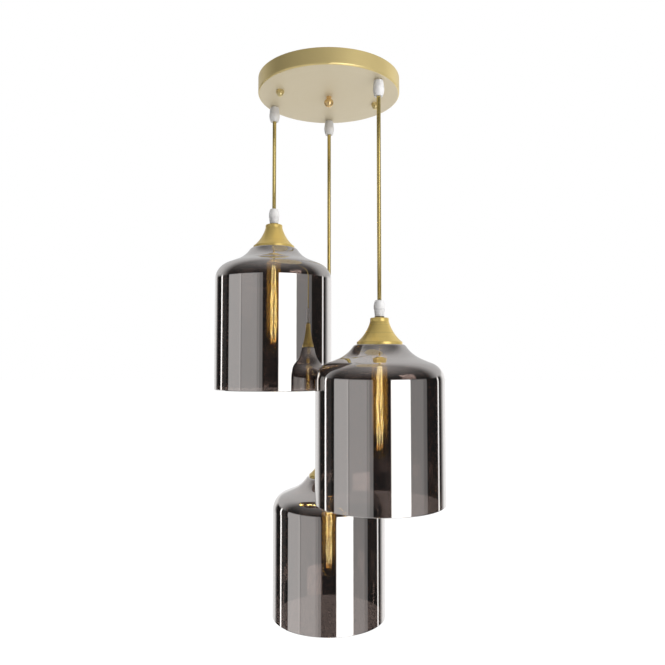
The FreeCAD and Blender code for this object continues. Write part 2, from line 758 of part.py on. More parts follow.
def bulb_stem(x, y, foot_z):
    """Pressed glass stem: a flared foot that stands in the base and a rod that carries the wires."""
    top = base_foot + bulb_seat
    flare_r = bulb_neck_r - bulb_wall - 0.3
    return turned([
        (0, top), (flare_r, top), (flare_r, top - 1.2),
        (stem_r, top - stem_flare_h, (stem_r + 1.6, top - stem_flare_h * 0.55)),
        (stem_r, top - stem_l), (0, top - stem_l),
    ], x, y, foot_z)


def bulb_filaments(x, y, foot_z):
    """Long strands between a ring on the stem and a ring near the tip, on one support wire."""
    low_z = foot_z - bulb_reach + tip_ring_gap
    high_z = foot_z + base_foot + bulb_seat - stem_l - 2.0
    centre_high = Vector(x, y, high_z + 2.0)
    support = between(centre_high, Vector(x, y, low_z), wire_r)
    for ring_r_now, z in ((stem_ring_r, high_z), (tip_ring_r, low_z)):
        support = support.fuse(Part.makeTorus(ring_r_now, wire_r, Vector(x, y, z)))
        for k in range(2):
            turn = math.radians(90 * k)
            out = Vector(ring_r_now * math.cos(turn), ring_r_now * math.sin(turn), 0)
            support = support.fuse(between(Vector(x, y, z) - out, Vector(x, y, z) + out, wire_r * 0.9))
    solids = [support]
    gap = wire_r + 0.1
    for k in range(strand_count):
        turn = 2 * math.pi * (k + 0.5) / strand_count
        on = turn + math.radians(strand_twist)
        start = Vector(x + stem_ring_r * math.cos(turn), y + stem_ring_r * math.sin(turn), high_z - gap)
        end = Vector(x + tip_ring_r * math.cos(on), y + tip_ring_r * math.sin(on), low_z + gap + 0.1)
        solids.append(between(start, end, strand_r))
    return solids


# ---------------------------------------------------------------- build


def build_canopy():
    save("canopy_pan", canopy_pan())
    save("ceiling_bracket", ceiling_bracket())
    save("bracket_studs", bracket_studs())
    save("bracket_nuts", bracket_nuts())
    save("canopy_cap_nuts", [acorn(at) for at in STUDS])
    save("centre_finial", centre_finial())
    save("upper_nipples", [nipple(x, y, collar_z, collar_z - nipple_end, nipple_top_z, upper_collar_r)
                           for x, y in HOLES])
    nut_top = inner_face_z + nipple_nut_h
    save("nipple_nuts", [nut(nipple_nut_af, nipple_r + thread_play, x, y, inner_face_z, nut_top)
                         for x, y in HOLES])
    save("upper_cord_grips", [cord_grip(x, y, collar_z, -1) for x, y in HOLES])
    save("upper_grip_screws", [grip_screw(x, y, collar_z, -1) for x, y in HOLES])
    save("cable_tails", cable_tails())
    save("terminal_block", terminal_block())
    save("terminal_screws", terminal_screws())
    save("canopy_leads", canopy_leads())
    save("earth_tag", earth_tag())


def build_pendant(name, angle, drop):
    x, y = hole_at(angle)
    foot_z = -drop
    collar_foot = foot_z + cap_h
    grip_foot = collar_foot + collar_h
    save(name + "_cable", cable(x, y, foot_z))
    save(name + "_cord_grip", cord_grip(x, y, grip_foot, 1))
    save(name + "_grip_screw", grip_screw(x, y, grip_foot, 1))
    save(name + "_nipple", nipple(x, y, collar_foot, collar_foot - nipple_tail, grip_foot + nipple_end,
                                  lower_collar_r))
    save(name + "_cap", cap(x, y, foot_z))
    save(name + "_shade", shade(x, y, foot_z))
    save(name + "_gasket", gasket(x, y, foot_z))
    save(name + "_shade_ring", shade_ring(x, y, foot_z))
    save(name + "_lampholder", lampholder(x, y, foot_z))
    save(name + "_lampholder_contacts", lampholder_contacts(x, y, foot_z))
    save(name + "_lead_tail", lead_tail(x, y, foot_z))
    save(name + "_bulb_base", bulb_base(x, y, foot_z))
    save(name + "_bulb_glass", bulb_glass(x, y, foot_z))
    save(name + "_bulb_stem", bulb_stem(x, y, foot_z))
    save(name + "_bulb_filaments", bulb_filaments(x, y, foot_z))


build_canopy()
for pendant in PENDANTS:
    build_pendant(*pendant)
print("canopy radius", round(canopy_r, 2), "hole circle radius", round(hole_circle_r, 2))
print("free cables", [round(drop + pivot_z - grip_top, 1) for _, _, drop in PENDANTS])
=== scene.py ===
"""Dresses the cluster pendant: its finishes, its gold cables, the studio round it and the camera.

Metres, +Z up. The origin is on the ceiling, on the canopy's axis, and the pendants hang below it.
Three pendants hang from one round canopy. They differ only in place and height.
"""

import json
import math

import bpy
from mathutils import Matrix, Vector


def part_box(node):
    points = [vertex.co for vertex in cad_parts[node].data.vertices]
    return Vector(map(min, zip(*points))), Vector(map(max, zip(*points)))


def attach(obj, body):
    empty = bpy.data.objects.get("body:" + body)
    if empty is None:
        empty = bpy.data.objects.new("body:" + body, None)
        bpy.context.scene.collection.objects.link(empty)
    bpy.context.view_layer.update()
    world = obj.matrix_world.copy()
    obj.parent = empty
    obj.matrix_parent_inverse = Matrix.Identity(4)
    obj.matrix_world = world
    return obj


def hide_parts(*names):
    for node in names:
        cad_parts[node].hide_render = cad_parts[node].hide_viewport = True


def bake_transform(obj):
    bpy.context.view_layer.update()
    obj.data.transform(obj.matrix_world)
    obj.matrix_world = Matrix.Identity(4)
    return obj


bl_info = {
    "name": "Cluster pendant",
    "version": (1, 0, 0),
    "blender": (4, 5, 0),
    "location": "3D View > Sidebar > Pendant",
    "description": "Finishes, cables, studio and camera of a cluster pendant",
    "category": "Object",
}

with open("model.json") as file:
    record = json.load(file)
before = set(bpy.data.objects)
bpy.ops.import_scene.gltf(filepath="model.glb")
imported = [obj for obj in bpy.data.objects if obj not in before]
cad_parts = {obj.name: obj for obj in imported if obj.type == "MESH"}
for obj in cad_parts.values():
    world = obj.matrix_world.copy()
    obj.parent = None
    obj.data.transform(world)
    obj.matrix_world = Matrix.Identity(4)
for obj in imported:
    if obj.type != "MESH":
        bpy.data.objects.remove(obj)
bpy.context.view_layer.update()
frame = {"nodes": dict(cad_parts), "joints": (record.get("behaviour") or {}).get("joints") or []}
NODES = frame["nodes"]
PENDANTS = ("high", "middle", "low")
PHOTO_SIDE = 665                     # pixels along each side of the photograph


def each(piece):
    """The names of one piece on all three pendants."""
    return [pendant + "_" + piece for pendant in PENDANTS]


def joint(name):
    """What the frame says of one joint."""
    for found in frame["joints"]:
        if found["name"] == name:
            return found
    raise KeyError(name)


# ---------------------------------------------------------------- what a user may change


def length(name, description, default):
    return bpy.props.FloatProperty(name=name, description=description, default=default, unit="LENGTH",
                                   precision=4)


def share(name, description, default):
    return bpy.props.FloatProperty(name=name, description=description, default=default, subtype="FACTOR",
                                   min=0.0, max=1.0)


def colour(name, description, default):
    return bpy.props.FloatVectorProperty(name=name, description=description, default=default,
                                         subtype="COLOR", size=3, min=0.0, max=1.0)


def number(name, description, default):
    return bpy.props.FloatProperty(name=name, description=description, default=default, min=0.0)


class PendantSizes(bpy.types.PropertyGroup):
    cable_diameter: length("Cable diameter", "Outer diameter of a sheathed cable", 0.0068)
    strand_diameter: length("Strand diameter", "Thickness of a lit strand", 0.0007)
    wire_diameter: length("Wire diameter", "Thickness of the wire that carries the strands", 0.0009)
    bundle_top: length("Bundle top", "Radius of the upper ring that the strands hang from", 0.0028)
    bundle_middle: length("Bundle middle", "Radius of the bundle of strands at its widest", 0.0048)
    bundle_foot: length("Bundle foot", "Radius of the lower ring that holds the strands", 0.0045)
    strand_sway: length("Strand sway", "How far a strand waves to and fro", 0.0009)


class PendantFinishes(bpy.types.PropertyGroup):
    gold: colour("Canopy gold", "Satin gold of the canopy's side", (0.84, 0.67, 0.30))
    cap_gold: colour("Cap gold", "Satin gold of the caps on the shades", (0.86, 0.64, 0.21))
    # The underside's paler gold is a painted sheen: it stands for the light that the face catches from
    # below.
    painted_underside_gold: colour("Canopy face", "Paler satin gold of the canopy's underside", (0.73, 0.65, 0.485))
    bright_gold: colour("Polished gold", "Gold of the centre finial", (0.88, 0.64, 0.32))
    nut_gold: colour("Nut gold", "Paler gold of the canopy's cap nuts", (0.80, 0.68, 0.36))
    cable_gold: colour("Cable gold", "Metallic gold sheath of the cables", (0.66, 0.52, 0.19))
    glass_tint: colour("Smoke tint", "Light that one wall of the glass lets through", (0.24, 0.18, 0.16))
    mirror_tint: colour("Mirror tint", "Colour of what the glass reflects", (0.97, 0.94, 0.92))
    mirror_share: share("Mirror share", "How much of the light the coated glass reflects face on", 0.50)
    amber: colour("Bulb amber", "Tint of the bulb's glass", (1.0, 0.94, 0.56))
    glow: colour("Filament glow", "Colour of the lit strands", (0.80, 0.96, 1.0))
    glow_strength: number("Filament strength", "How strongly the strands shine", 160.0)
    # The bulb's haze is a painted glow: the glass itself is made to shine amber, in place of the strands'
    # light in it.
    painted_haze: colour("Bulb haze", "Amber light that the strands leave in the bulb's glass", (1.0, 0.72, 0.22))
    painted_haze_strength: number("Haze strength", "How strongly the bulb's glass glows", 0.35)


class PendantStudio(bpy.types.PropertyGroup):
    focal_pixels: number("Focal length", "Focal length in pixels of the photograph", 640.0)
    eye: bpy.props.FloatVectorProperty(name="Camera place", description="Where the camera stands",
                                       default=(0.0066, -1.118, -0.507), subtype="TRANSLATION",
                                       unit="LENGTH")
    tilt: bpy.props.FloatProperty(name="Camera tilt", description="How far the camera looks up",
                                  default=math.radians(3.0), subtype="ANGLE")
    floor_drop: length("Floor", "How far the floor lies below the ceiling", 1.9)


# ---------------------------------------------------------------- shader maths


class Out:
    """An output socket. Arithmetic on it adds the Math nodes that it needs."""

    def __init__(self, graph, socket):
        self.graph = graph
        self.socket = socket

    def __add__(self, other):
        return self.graph.maths("ADD", self, other)

    def __radd__(self, other):
        return self.graph.maths("ADD", other, self)

    def __sub__(self, other):
        return self.graph.maths("SUBTRACT", self, other)

    def __rsub__(self, other):
        return self.graph.maths("SUBTRACT", other, self)

    def __mul__(self, other):
        return self.graph.maths("MULTIPLY", self, other)

    def __rmul__(self, other):
        return self.graph.maths("MULTIPLY", other, self)

    def __truediv__(self, other):
        return self.graph.maths("DIVIDE", self, other)

    def __pow__(self, other):
        return self.graph.maths("POWER", self, other)

    def __neg__(self):
        return self.graph.maths("MULTIPLY", self, -1.0)


class Graph:
    """A node tree that is filled node by node."""

    def __init__(self, tree):
        self.tree = tree
        self.tree.nodes.clear()

    def add(self, kind, settings=None, sockets=None, give=0):
        """Adds a node, sets it, fills or links its sockets, and gives one of its outputs."""
        node = self.tree.nodes.new(kind)
        for name, value in (settings or {}).items():
            setattr(node, name, value)
        for key, value in (sockets or {}).items():
            if isinstance(value, Out):
                self.tree.links.new(value.socket, node.inputs[key])
            else:
                target = node.inputs[key]
                if target.type == "RGBA":
                    value = (value[0], value[1], value[2], 1.0)
                target.default_value = value
        return Out(self, node.outputs[give])

    def maths(self, operation, first, second=0.0):
        return self.add("ShaderNodeMath", {"operation": operation}, {0: first, 1: second})

    def mix(self, share_of_b, a, b):
        """Mix of two colours."""
        return self.add("ShaderNodeMix", {"data_type": "RGBA"}, {0: share_of_b, 6: a, 7: b}, give=2)

    def ease(self, value, low, high):
        """0 below low, 1 above high, and smooth between them."""
        return self.add("ShaderNodeMapRange", {"interpolation_type": "SMOOTHSTEP"},
                        {"Value": value, "From Min": low, "From Max": high})

    def place(self):
        """The point in the part's own frame, in metres."""
        return self.add("ShaderNodeTexCoord", give="Object")

    def parts(self, vector):
        """The x, y and z of a vector."""
        split = self.add("ShaderNodeSeparateXYZ", {}, {0: vector})
        return tuple(Out(self, part) for part in split.socket.node.outputs)

    def ray(self, question):
        """One of the Light Path node's answers, such as Is Camera Ray."""
        return self.add("ShaderNodeLightPath", give=question)

    def noise(self, point, scale, detail=2.0, stretch=(1.0, 1.0, 1.0)):
        """Clouds from 0 to 1, about one over scale metres across."""
        spread = self.add("ShaderNodeVectorMath", {"operation": "MULTIPLY"}, {0: point, 1: stretch})
        return self.add("ShaderNodeTexNoise", {}, {"Vector": spread, "Scale": scale, "Detail": detail})

    def bump(self, height, strength, distance):
        """A normal that leans as a surface of this height would, distance metres deep."""
        return self.add("ShaderNodeBump", {},
                        {"Strength": strength, "Distance": distance, "Height": height})


def between(share_of_b, a, b):
    """a where the share is 0 and b where it is 1, for numbers."""
    return a * (1.0 - share_of_b) + b * share_of_b


def mirrored(graph):
    """1 for light that some shiny surface has turned on its way to the eye, and 0 for other light."""
    return graph.maths("GREATER_THAN", graph.ray("Glossy Depth"), 0.5)


def dimmed(tint, red, green, blue):
    """A colour of which these shares of its red, green and blue are left."""
    return (tint[0] * red, tint[1] * green, tint[2] * blue)


def finish(name, build):
    """A material whose graph is filled by build, which gives the shader of its surface."""
    material = bpy.data.materials.new(name)
    material.use_nodes = True
    graph = Graph(material.node_tree)
    surface = build(graph)
    end = material.node_tree.nodes.new("ShaderNodeOutputMaterial")
    material.node_tree.links.new(surface.socket, end.inputs["Surface"])
    return material


def wear(names, material):
    """Gives CAD nodes a material in place of their plain one."""
    for name in names:
        slots = NODES[name].data.materials
        slots.clear()
        slots.append(material)


# ---------------------------------------------------------------- finishes


def brushed_gold(name, tint, painted_underside_tint, rough, centre):
    """Satin gold, brushed round the axis through centre, with a painted paler sheen where it faces down."""
    brush_lines = 900.0                  # in a metre

    def build(graph):
        point = graph.place()
        x, y, z = graph.parts(point)
        dx = x - centre[0]
        dy = y - centre[1]
        radius = (dx * dx + dy * dy) ** 0.5
        upward = graph.parts(graph.add("ShaderNodeNewGeometry", give="Normal"))[2]
        underside = graph.ease(-upward, 0.85, 0.97)
        across_rings = graph.add("ShaderNodeCombineXYZ", {}, {0: radius * brush_lines, 1: z * brush_lines})
        rings = graph.add("ShaderNodeTexNoise", {"noise_dimensions": "2D"},
                          {"Vector": across_rings, "Scale": 1.0, "Detail": 3.0})
        cloud = graph.noise(point, 14.0)
        # Painted sheen: surfaces that face down take the paler underside tint, for the light they catch from
        # below.
        base = graph.mix(underside, tint, painted_underside_tint)
        return graph.add("ShaderNodeBsdfPrincipled", {}, {
            "Base Color": graph.mix(rings * 0.14 + cloud * 0.10, base, dimmed(tint, 0.72, 0.68, 0.6)),
            "Metallic": 0.58 - 0.20 * underside,
            "Roughness": rough + underside * 0.16 + (rings - 0.5) * 0.12 + (cloud - 0.5) * 0.05,
            "Normal": graph.bump(rings, 0.12, 0.00004)})
    return finish(name, build)


def polished_gold(name, tint, rough):
    """Smooth gold plate with faint clouds in its gloss."""
    def build(graph):
        cloud = graph.noise(graph.place(), 90.0)
        return graph.add("ShaderNodeBsdfPrincipled", {}, {
            "Base Color": graph.mix(cloud, tint, dimmed(tint, 0.85, 0.8, 0.7)),
            "Metallic": 0.75, "Roughness": rough + (cloud - 0.5) * 0.08})
    return finish(name, build)


def plain_metal(name, tint, rough):
    """Plated or drawn metal with a fine grain and a little dullness."""
    def build(graph):
        point = graph.place()
        grain = graph.noise(point, 400.0, 3.0)
        patch = graph.noise(point, 40.0)
        return graph.add("ShaderNodeBsdfPrincipled", {}, {
            "Base Color": graph.mix(patch * 0.6, tint, dimmed(tint, 0.7, 0.7, 0.7)),
            "Metallic": 1.0, "Roughness": rough + (grain - 0.5) * 0.15,
            "Normal": graph.bump(grain, 0.1, 0.00005)})
    return finish(name, build)


def plain_plastic(name, tint, rough):
    """Moulded plastic with a faint orange-peel surface."""
    def build(graph):
        peel = graph.noise(graph.place(), 700.0)
        return graph.add("ShaderNodeBsdfPrincipled", {}, {
            "Base Color": graph.mix(peel * 0.3, tint, dimmed(tint, 0.8, 0.8, 0.8)),
            "Roughness": rough + (peel - 0.5) * 0.1,
            "Normal": graph.bump(peel, 0.15, 0.00003)})
    return finish(name, build)


def grip_plastic():
    """Milky translucent plastic of the cord grips."""
    def build(graph):
        cloud = graph.noise(graph.place(), 260.0, 3.0)
        return graph.add("ShaderNodeBsdfPrincipled", {}, {
            "Base Color": graph.mix(cloud, (0.93, 0.92, 0.915), (0.80, 0.785, 0.78)),
            "Roughness": 0.30 + cloud * 0.10, "IOR": 1.49, "Transmission Weight": 0.2,
            "Subsurface Weight": 0.6, "Subsurface Radius": (1.0, 1.0, 1.0), "Subsurface Scale": 0.006,
            "Coat Weight": 0.5, "Coat Roughness": 0.10})
    return finish("grip_plastic", build)


def cable_sheath(tint):
    """Metallic gold sheath with the fine lay of a braid under clear plastic."""
    def build(graph):
        lay = graph.add("ShaderNodeTexWave", {"wave_type": "BANDS", "bands_direction": "DIAGONAL"},
                        {"Vector": graph.place(), "Scale": 260.0, "Distortion": 0.4, "Detail": 1.0})
        return graph.add("ShaderNodeBsdfPrincipled", {}, {
            "Base Color": graph.mix(lay, tint, dimmed(tint, 0.9, 0.88, 0.8)),
            "Metallic": 0.8, "Roughness": 0.24 + lay * 0.05,
            "Coat Weight": 0.3, "Coat Roughness": 0.05,
            "Normal": graph.bump(lay, 0.06, 0.00003)})
    return finish("cable_sheath", build)


def smoked_glass(looks):
    """Smoked glass with a mirror coat that gets stronger towards its edges."""
    def build(graph):
        cloud = graph.noise(graph.place(), 9.0)
        clear = graph.add("ShaderNodeBsdfPrincipled", {}, {
            "Base Color": graph.mix(cloud * 0.25, looks.glass_tint, dimmed(looks.glass_tint, 0.8, 0.8, 0.8)),
            "Roughness": 0.0, "IOR": 1.45, "Transmission Weight": 1.0})
        coat = graph.add("ShaderNodeBsdfPrincipled", {}, {
            "Base Color": looks.mirror_tint, "Metallic": 1.0, "Roughness": 0.02})
        edge = graph.add("ShaderNodeLayerWeight", {}, {"Blend": 0.5}, give="Facing")
        face_on = looks.mirror_share
        share_of_coat = face_on + (edge ** 3.0) * (1.0 - face_on) * 0.8
        return graph.add("ShaderNodeMixShader", {}, {0: share_of_coat, 1: clear, 2: coat})
    return finish("smoked_glass", build)


def amber_glass(name, looks, foot, top):
    """Amber glass with a painted amber glow that stands for the strands' light in the glass and dies out
    towards the bulb's foot.
    """
    no_painted_haze = (0.01, 0.004, 0.0)

    def build(graph):
        point = graph.place()
        z = graph.parts(point)[2]
        cloud = graph.noise(point, 60.0)
        uneven = graph.noise(point, 110.0, 2.0, (1.0, 1.0, 0.35))
        rise = graph.ease(z, foot + (top - foot) * 0.12, foot + (top - foot) * 0.36)
        return graph.add("ShaderNodeBsdfPrincipled", {}, {
            "Base Color": graph.mix(cloud * 0.4, looks.amber, dimmed(looks.amber, 0.94, 0.84, 0.7)),
            "Roughness": 0.01, "IOR": 1.45, "Transmission Weight": 1.0,
            # Painted glow: the glass itself shines amber, most in its upper part and fading towards the
            # foot.
            "Emission Color": graph.mix(rise * (0.55 + 0.9 * uneven), no_painted_haze, looks.painted_haze),
            "Emission Strength": looks.painted_haze_strength})
    return finish(name, build)


def stem_glass():
    """Clear glass with faint milky clouds."""
    def build(graph):
        cloud = graph.noise(graph.place(), 120.0)
        return graph.add("ShaderNodeBsdfPrincipled", {}, {
            "Base Color": graph.mix(cloud, (0.96, 0.97, 0.95), (0.85, 0.86, 0.82)),
            "Roughness": 0.02, "IOR": 1.45, "Transmission Weight": 1.0})
    return finish("stem_glass", build)


def lit_strand(name, looks, foot, top):
    """Glowing strand, unevenly bright along its length and dull where it nears the lower ring."""
    def build(graph):
        point = graph.place()
        z = graph.parts(point)[2]
        uneven = graph.noise(point, 90.0, 1.0, (1.0, 1.0, 0.5))
        dull = dimmed(looks.glow, 0.10, 0.05, 0.02)
        bright = graph.mix(uneven, looks.glow, dimmed(looks.glow, 0.75, 0.66, 0.40))
        rise = graph.ease(z, foot + (top - foot) * 0.04, foot + (top - foot) * 0.14)
        return graph.add("ShaderNodeBsdfPrincipled", {}, {
            "Base Color": graph.mix(uneven, (0.55, 0.45, 0.32), (0.35, 0.28, 0.20)), "Roughness": 0.5,
            "Emission Color": graph.mix(rise, dull, bright), "Emission Strength": looks.glow_strength})
    return finish(name, build)


# ---------------------------------------------------------------- meshes


def mesh_object(name, verts, faces, smooth=True):
    mesh = bpy.data.meshes.new(name)
    mesh.from_pydata([tuple(v) for v in verts], [], faces)
    mesh.update()
    if smooth:
        mesh.polygons.foreach_set("use_smooth", [True] * len(mesh.polygons))
    thing = bpy.data.objects.new(name, mesh)
    bpy.context.scene.collection.objects.link(thing)
    return thing


def along(points, radii, sides=10, ring=False):
    """Corners and faces of a round tube along points. A ring's last point joins its first."""
    count = len(points)
    verts = []
    faces = []
    across = Vector((0.0, 0.0, 1.0)).cross(points[1] - points[0])
    if across.length < 1e-9:             # the tube starts straight up or down
        across = Vector((1.0, 0.0, 0.0))
    across.normalize()
    for i, (point, radius) in enumerate(zip(points, radii)):
        before = points[i - 1] if i or ring else point
        after = points[(i + 1) % count] if i < count - 1 or ring else point
        ahead = (after - before).normalized()
        across = (across - ahead * across.dot(ahead)).normalized()
        third = ahead.cross(across)
        for k in range(sides):
            turn = 2 * math.pi * k / sides
            verts.append(point + (across * math.cos(turn) + third * math.sin(turn)) * radius)
    for i in range(count if ring else count - 1):
        low = i * sides
        high = (i + 1) % count * sides
        for k in range(sides):
            on = (k + 1) % sides
            faces.append((low + k, low + on, high + on, high + k))
    if not ring:
        faces.append(tuple(reversed(range(sides))))
        faces.append(tuple((count - 1) * sides + k for k in range(sides)))
    return verts, faces


def joined(name, tubes):
    """One object of several tubes, each with the number of its material."""
    verts = []
    faces = []
    slots = []
    for (corners, sides), slot in tubes:
        start = len(verts)
        verts.extend(corners)
        faces.extend(tuple(start + i for i in face) for face in sides)
        slots.extend([slot] * len(sides))
    thing = mesh_object(name, verts, faces)
    thing.data.polygons.foreach_set("material_index", slots)
    return thing


# ---------------------------------------------------------------- operators


class PENDANT_OT_gold_work(bpy.types.Operator):
    """Brushed gold on the canopy and the caps, smooth gold on the cap nuts and the finial"""
    bl_idname = "pendant.gold_work"
    bl_label = "Gold work"

    def execute(self, context):
        looks = context.scene.pendant_finishes
        wear(["canopy_pan"], brushed_gold("canopy_gold", looks.gold, looks.painted_underside_gold, 0.34, (0, 0)))
        for pendant in PENDANTS:
            low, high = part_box(pendant + "_cap")
            centre = (low + high) / 2
            wear([pendant + "_cap"],
                 brushed_gold(pendant + "_cap_gold", looks.cap_gold, looks.cap_gold, 0.30, centre))
        wear(["canopy_cap_nuts"], polished_gold("cap_nut_gold", looks.nut_gold, 0.34))
        wear(["centre_finial"], polished_gold("finial_gold", looks.bright_gold, 0.24))
        return {"FINISHED"}


class PENDANT_OT_cord_grips(bpy.types.Operator):
    """Cord grips with their screws, and the nipples that they sit on"""
    bl_idname = "pendant.cord_grips"
    bl_label = "Cord grips"

    def execute(self, context):
        plastic = grip_plastic()
        wear(["upper_cord_grips", "upper_grip_screws"], plastic)
        wear(each("cord_grip") + each("grip_screw"), plastic)
        wear(["upper_nipples"], plain_metal("bright_nickel", (0.80, 0.79, 0.77), 0.15))
        # The lower nipples are nickel metal, and their dark olive colour is painted shade: they sit in the
        # narrow gap between grip and cap.
        wear(each("nipple"), plain_metal("dark_nickel", (0.24, 0.19, 0.10), 0.3))
        return {"FINISHED"}


class PENDANT_OT_fixings(bpy.types.Operator):
    """Ceiling bracket with its studs and nuts, the nipples' nuts and the terminal's screws"""
    bl_idname = "pendant.fixings"
    bl_label = "Fixings"

    def execute(self, context):
        wear(["ceiling_bracket", "bracket_studs", "bracket_nuts", "nipple_nuts", "terminal_screws"],
             plain_metal("zinc_plate", (0.66, 0.67, 0.68), 0.35))
        return {"FINISHED"}


class PENDANT_OT_wiring(bpy.types.Operator):
    """Terminal block, leads, earth tag and the ends of the cables inside"""
    bl_idname = "pendant.wiring"
    bl_label = "Wiring"

    def execute(self, context):
        wear(["terminal_block"], plain_plastic("white_nylon", (0.86, 0.86, 0.82), 0.5))
        wear(["canopy_leads"], plain_plastic("lead_insulation", (0.30, 0.15, 0.08), 0.4))
        wear(["earth_tag"], plain_metal("tinned_brass", (0.74, 0.66, 0.48), 0.35))
        wear(["cable_tails"] + each("lead_tail"), cable_sheath(context.scene.pendant_finishes.cable_gold))
        return {"FINISHED"}


class PENDANT_OT_lampholders(bpy.types.Operator):
    """Lampholders, their contacts, gaskets and shade rings"""
    bl_idname = "pendant.lampholders"
    bl_label = "Lampholders"

    def execute(self, context):
        wear(each("lampholder"), plain_plastic("black_moulding", (0.035, 0.033, 0.03), 0.45))
        wear(each("lampholder_contacts"), plain_metal("contact_brass", (0.80, 0.62, 0.32), 0.3))
        wear(each("gasket"), plain_plastic("silicone", (0.80, 0.79, 0.76), 0.6))
        wear(each("shade_ring"), plain_metal("ring_plate", (0.70, 0.62, 0.52), 0.25))
        return {"FINISHED"}


class PENDANT_OT_shades(bpy.types.Operator):
    """Smoked glass of the three shades"""
    bl_idname = "pendant.shades"
    bl_label = "Shades"

    def execute(self, context):
        wear(each("shade"), smoked_glass(context.scene.pendant_finishes))
        return {"FINISHED"}


class PENDANT_OT_bulbs(bpy.types.Operator):
    """Bulbs: base, amber glass, stem and the lit strands on their wire"""
    bl_idname = "pendant.bulbs"
    bl_label = "Bulbs"
    strand_count = 6
    strand_steps = 72                    # straight pieces along one strand
    ring_steps = 32                      # straight pieces round one ring
    ring_drop = 0.002                    # how far the upper ring hangs below the wire's top
    cross_wire = 0.9                     # thickness of a ring's cross wires, as a share of the wire's
    twist = math.radians(55.0)           # how far a strand goes round the wire on its way down
    drift = 0.25                         # radians that it leads or lags on that way
    # Waves along a strand, and how far each strand's waves are ahead of the last one's, in waves
    sway_waves = (3.3, 0.37)
    drift_waves = (2.3, 0.21)

    def execute(self, context):
        looks = context.scene.pendant_finishes
        sizes = context.scene.pendant_sizes
        wear(each("bulb_base"), plain_metal("base_brass", (0.82, 0.66, 0.36), 0.25))
        wear(each("bulb_stem"), stem_glass())
        wire = plain_metal("strand_wire", (0.52, 0.46, 0.38), 0.3)
        for pendant in PENDANTS:
            low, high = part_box(pendant + "_bulb_glass")
            wear([pendant + "_bulb_glass"], amber_glass(pendant + "_amber_glass", looks, low.z, high.z))
            low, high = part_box(pendant + "_bulb_filaments")
            wear([pendant + "_bulb_filaments"], wire)
            thing = self.strands(pendant + "_strands", low, high, sizes)
            thing.data.materials.append(lit_strand(pendant + "_lit_strand", looks, low.z, high.z))
            thing.data.materials.append(wire)
            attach(thing, pendant + "_bulb")
            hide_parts(pendant + "_bulb_filaments")
        return {"FINISHED"}

    def wave(self, waves, s, k):
        """Where strand k stands in its wave, from -1 to 1, at the share s of its length."""
        along_it, ahead = waves
        return math.sin(2 * math.pi * (along_it * s + ahead * k))

    def strand(self, k, x, y, top, foot, sizes):
        """The points of strand k, which bows out and waves between the rings."""
        mean = (sizes.bundle_top + sizes.bundle_foot) / 2
        start = 2 * math.pi * (k + 0.5) / self.strand_count
        points = []
        for i in range(self.strand_steps + 1):
            s = i / self.strand_steps
            hold = math.sin(math.pi * s)                 # 0 at both rings, where the strand is held
            radius = sizes.bundle_top + (sizes.bundle_foot - sizes.bundle_top) * s
            radius += (sizes.bundle_middle - mean) * hold
            radius += sizes.strand_sway * hold * self.wave(self.sway_waves, s, k)
            turn = start + self.twist * s
            turn += self.drift * hold * self.wave(self.drift_waves, s, k)
            points.append(Vector((x + radius * math.cos(turn), y + radius * math.sin(turn),
                                  top + (foot - top) * s)))
        return points

    def strands(self, name, low, high, sizes):
        """The wire with its two rings, and the strands between them."""
        x = (low.x + high.x) / 2
        y = (low.y + high.y) / 2
        wire = sizes.wire_diameter / 2
        top = high.z - self.ring_drop
        foot = low.z + wire
        tubes = [(along([Vector((x, y, high.z)), Vector((x, y, foot))], [wire, wire]), 1)]
        for radius, z in ((sizes.bundle_top, top), (sizes.bundle_foot, foot)):
            turns = [2 * math.pi * k / self.ring_steps for k in range(self.ring_steps)]
            loop = [Vector((x + radius * math.cos(t), y + radius * math.sin(t), z)) for t in turns]
            tubes.append((along(loop, [wire] * len(loop), ring=True), 1))
            middle = Vector((x, y, z))
            for turn in (0.0, math.pi / 2):              # the ring's two cross wires
                out = Vector((radius * math.cos(turn), radius * math.sin(turn), 0.0))
                tubes.append((along([middle - out, middle + out], [wire * self.cross_wire] * 2), 1))
        for k in range(self.strand_count):
            points = self.strand(k, x, y, top, foot, sizes)
            tubes.append((along(points, [sizes.strand_diameter / 2] * len(points)), 0))
        return joined(name, tubes)


class PENDANT_OT_cables(bpy.types.Operator):
    """The three taut cables between their upper and lower grips"""
    bl_idname = "pendant.cables"
    bl_label = "Cables"
    cable_sides = 32
    dome_steps = 5                       # of the round top end, which turns in the upper grip
    dome_top = 0.05                      # share of the cable's radius that is left at the dome's top

    def execute(self, context):
        sizes = context.scene.pendant_sizes
        sheath = cable_sheath(context.scene.pendant_finishes.cable_gold)
        radius = sizes.cable_diameter / 2
        dome = [math.pi / 2 * (1 - k / self.dome_steps) for k in range(self.dome_steps + 1)]
        for pendant in PENDANTS:
            low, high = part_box(pendant + "_cable")
            x = (low.x + high.x) / 2
            y = (low.y + high.y) / 2
            top = Vector((x, y, joint(pendant + "_swing")["pos_m"][2]))
            bottom = Vector((x, y, low.z))
            points = [top + Vector((0, 0, radius * math.sin(turn))) for turn in dome]
            radii = [radius * max(math.cos(turn), self.dome_top) for turn in dome]
            sheath_tube = along(points + [bottom], radii + [radius], sides=self.cable_sides)
            thing = joined(pendant + "_cable_sheath", [(sheath_tube, 0)])
            thing.data.materials.append(sheath)
            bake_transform(thing)
            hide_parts(pendant + "_cable")
        return {"FINISHED"}


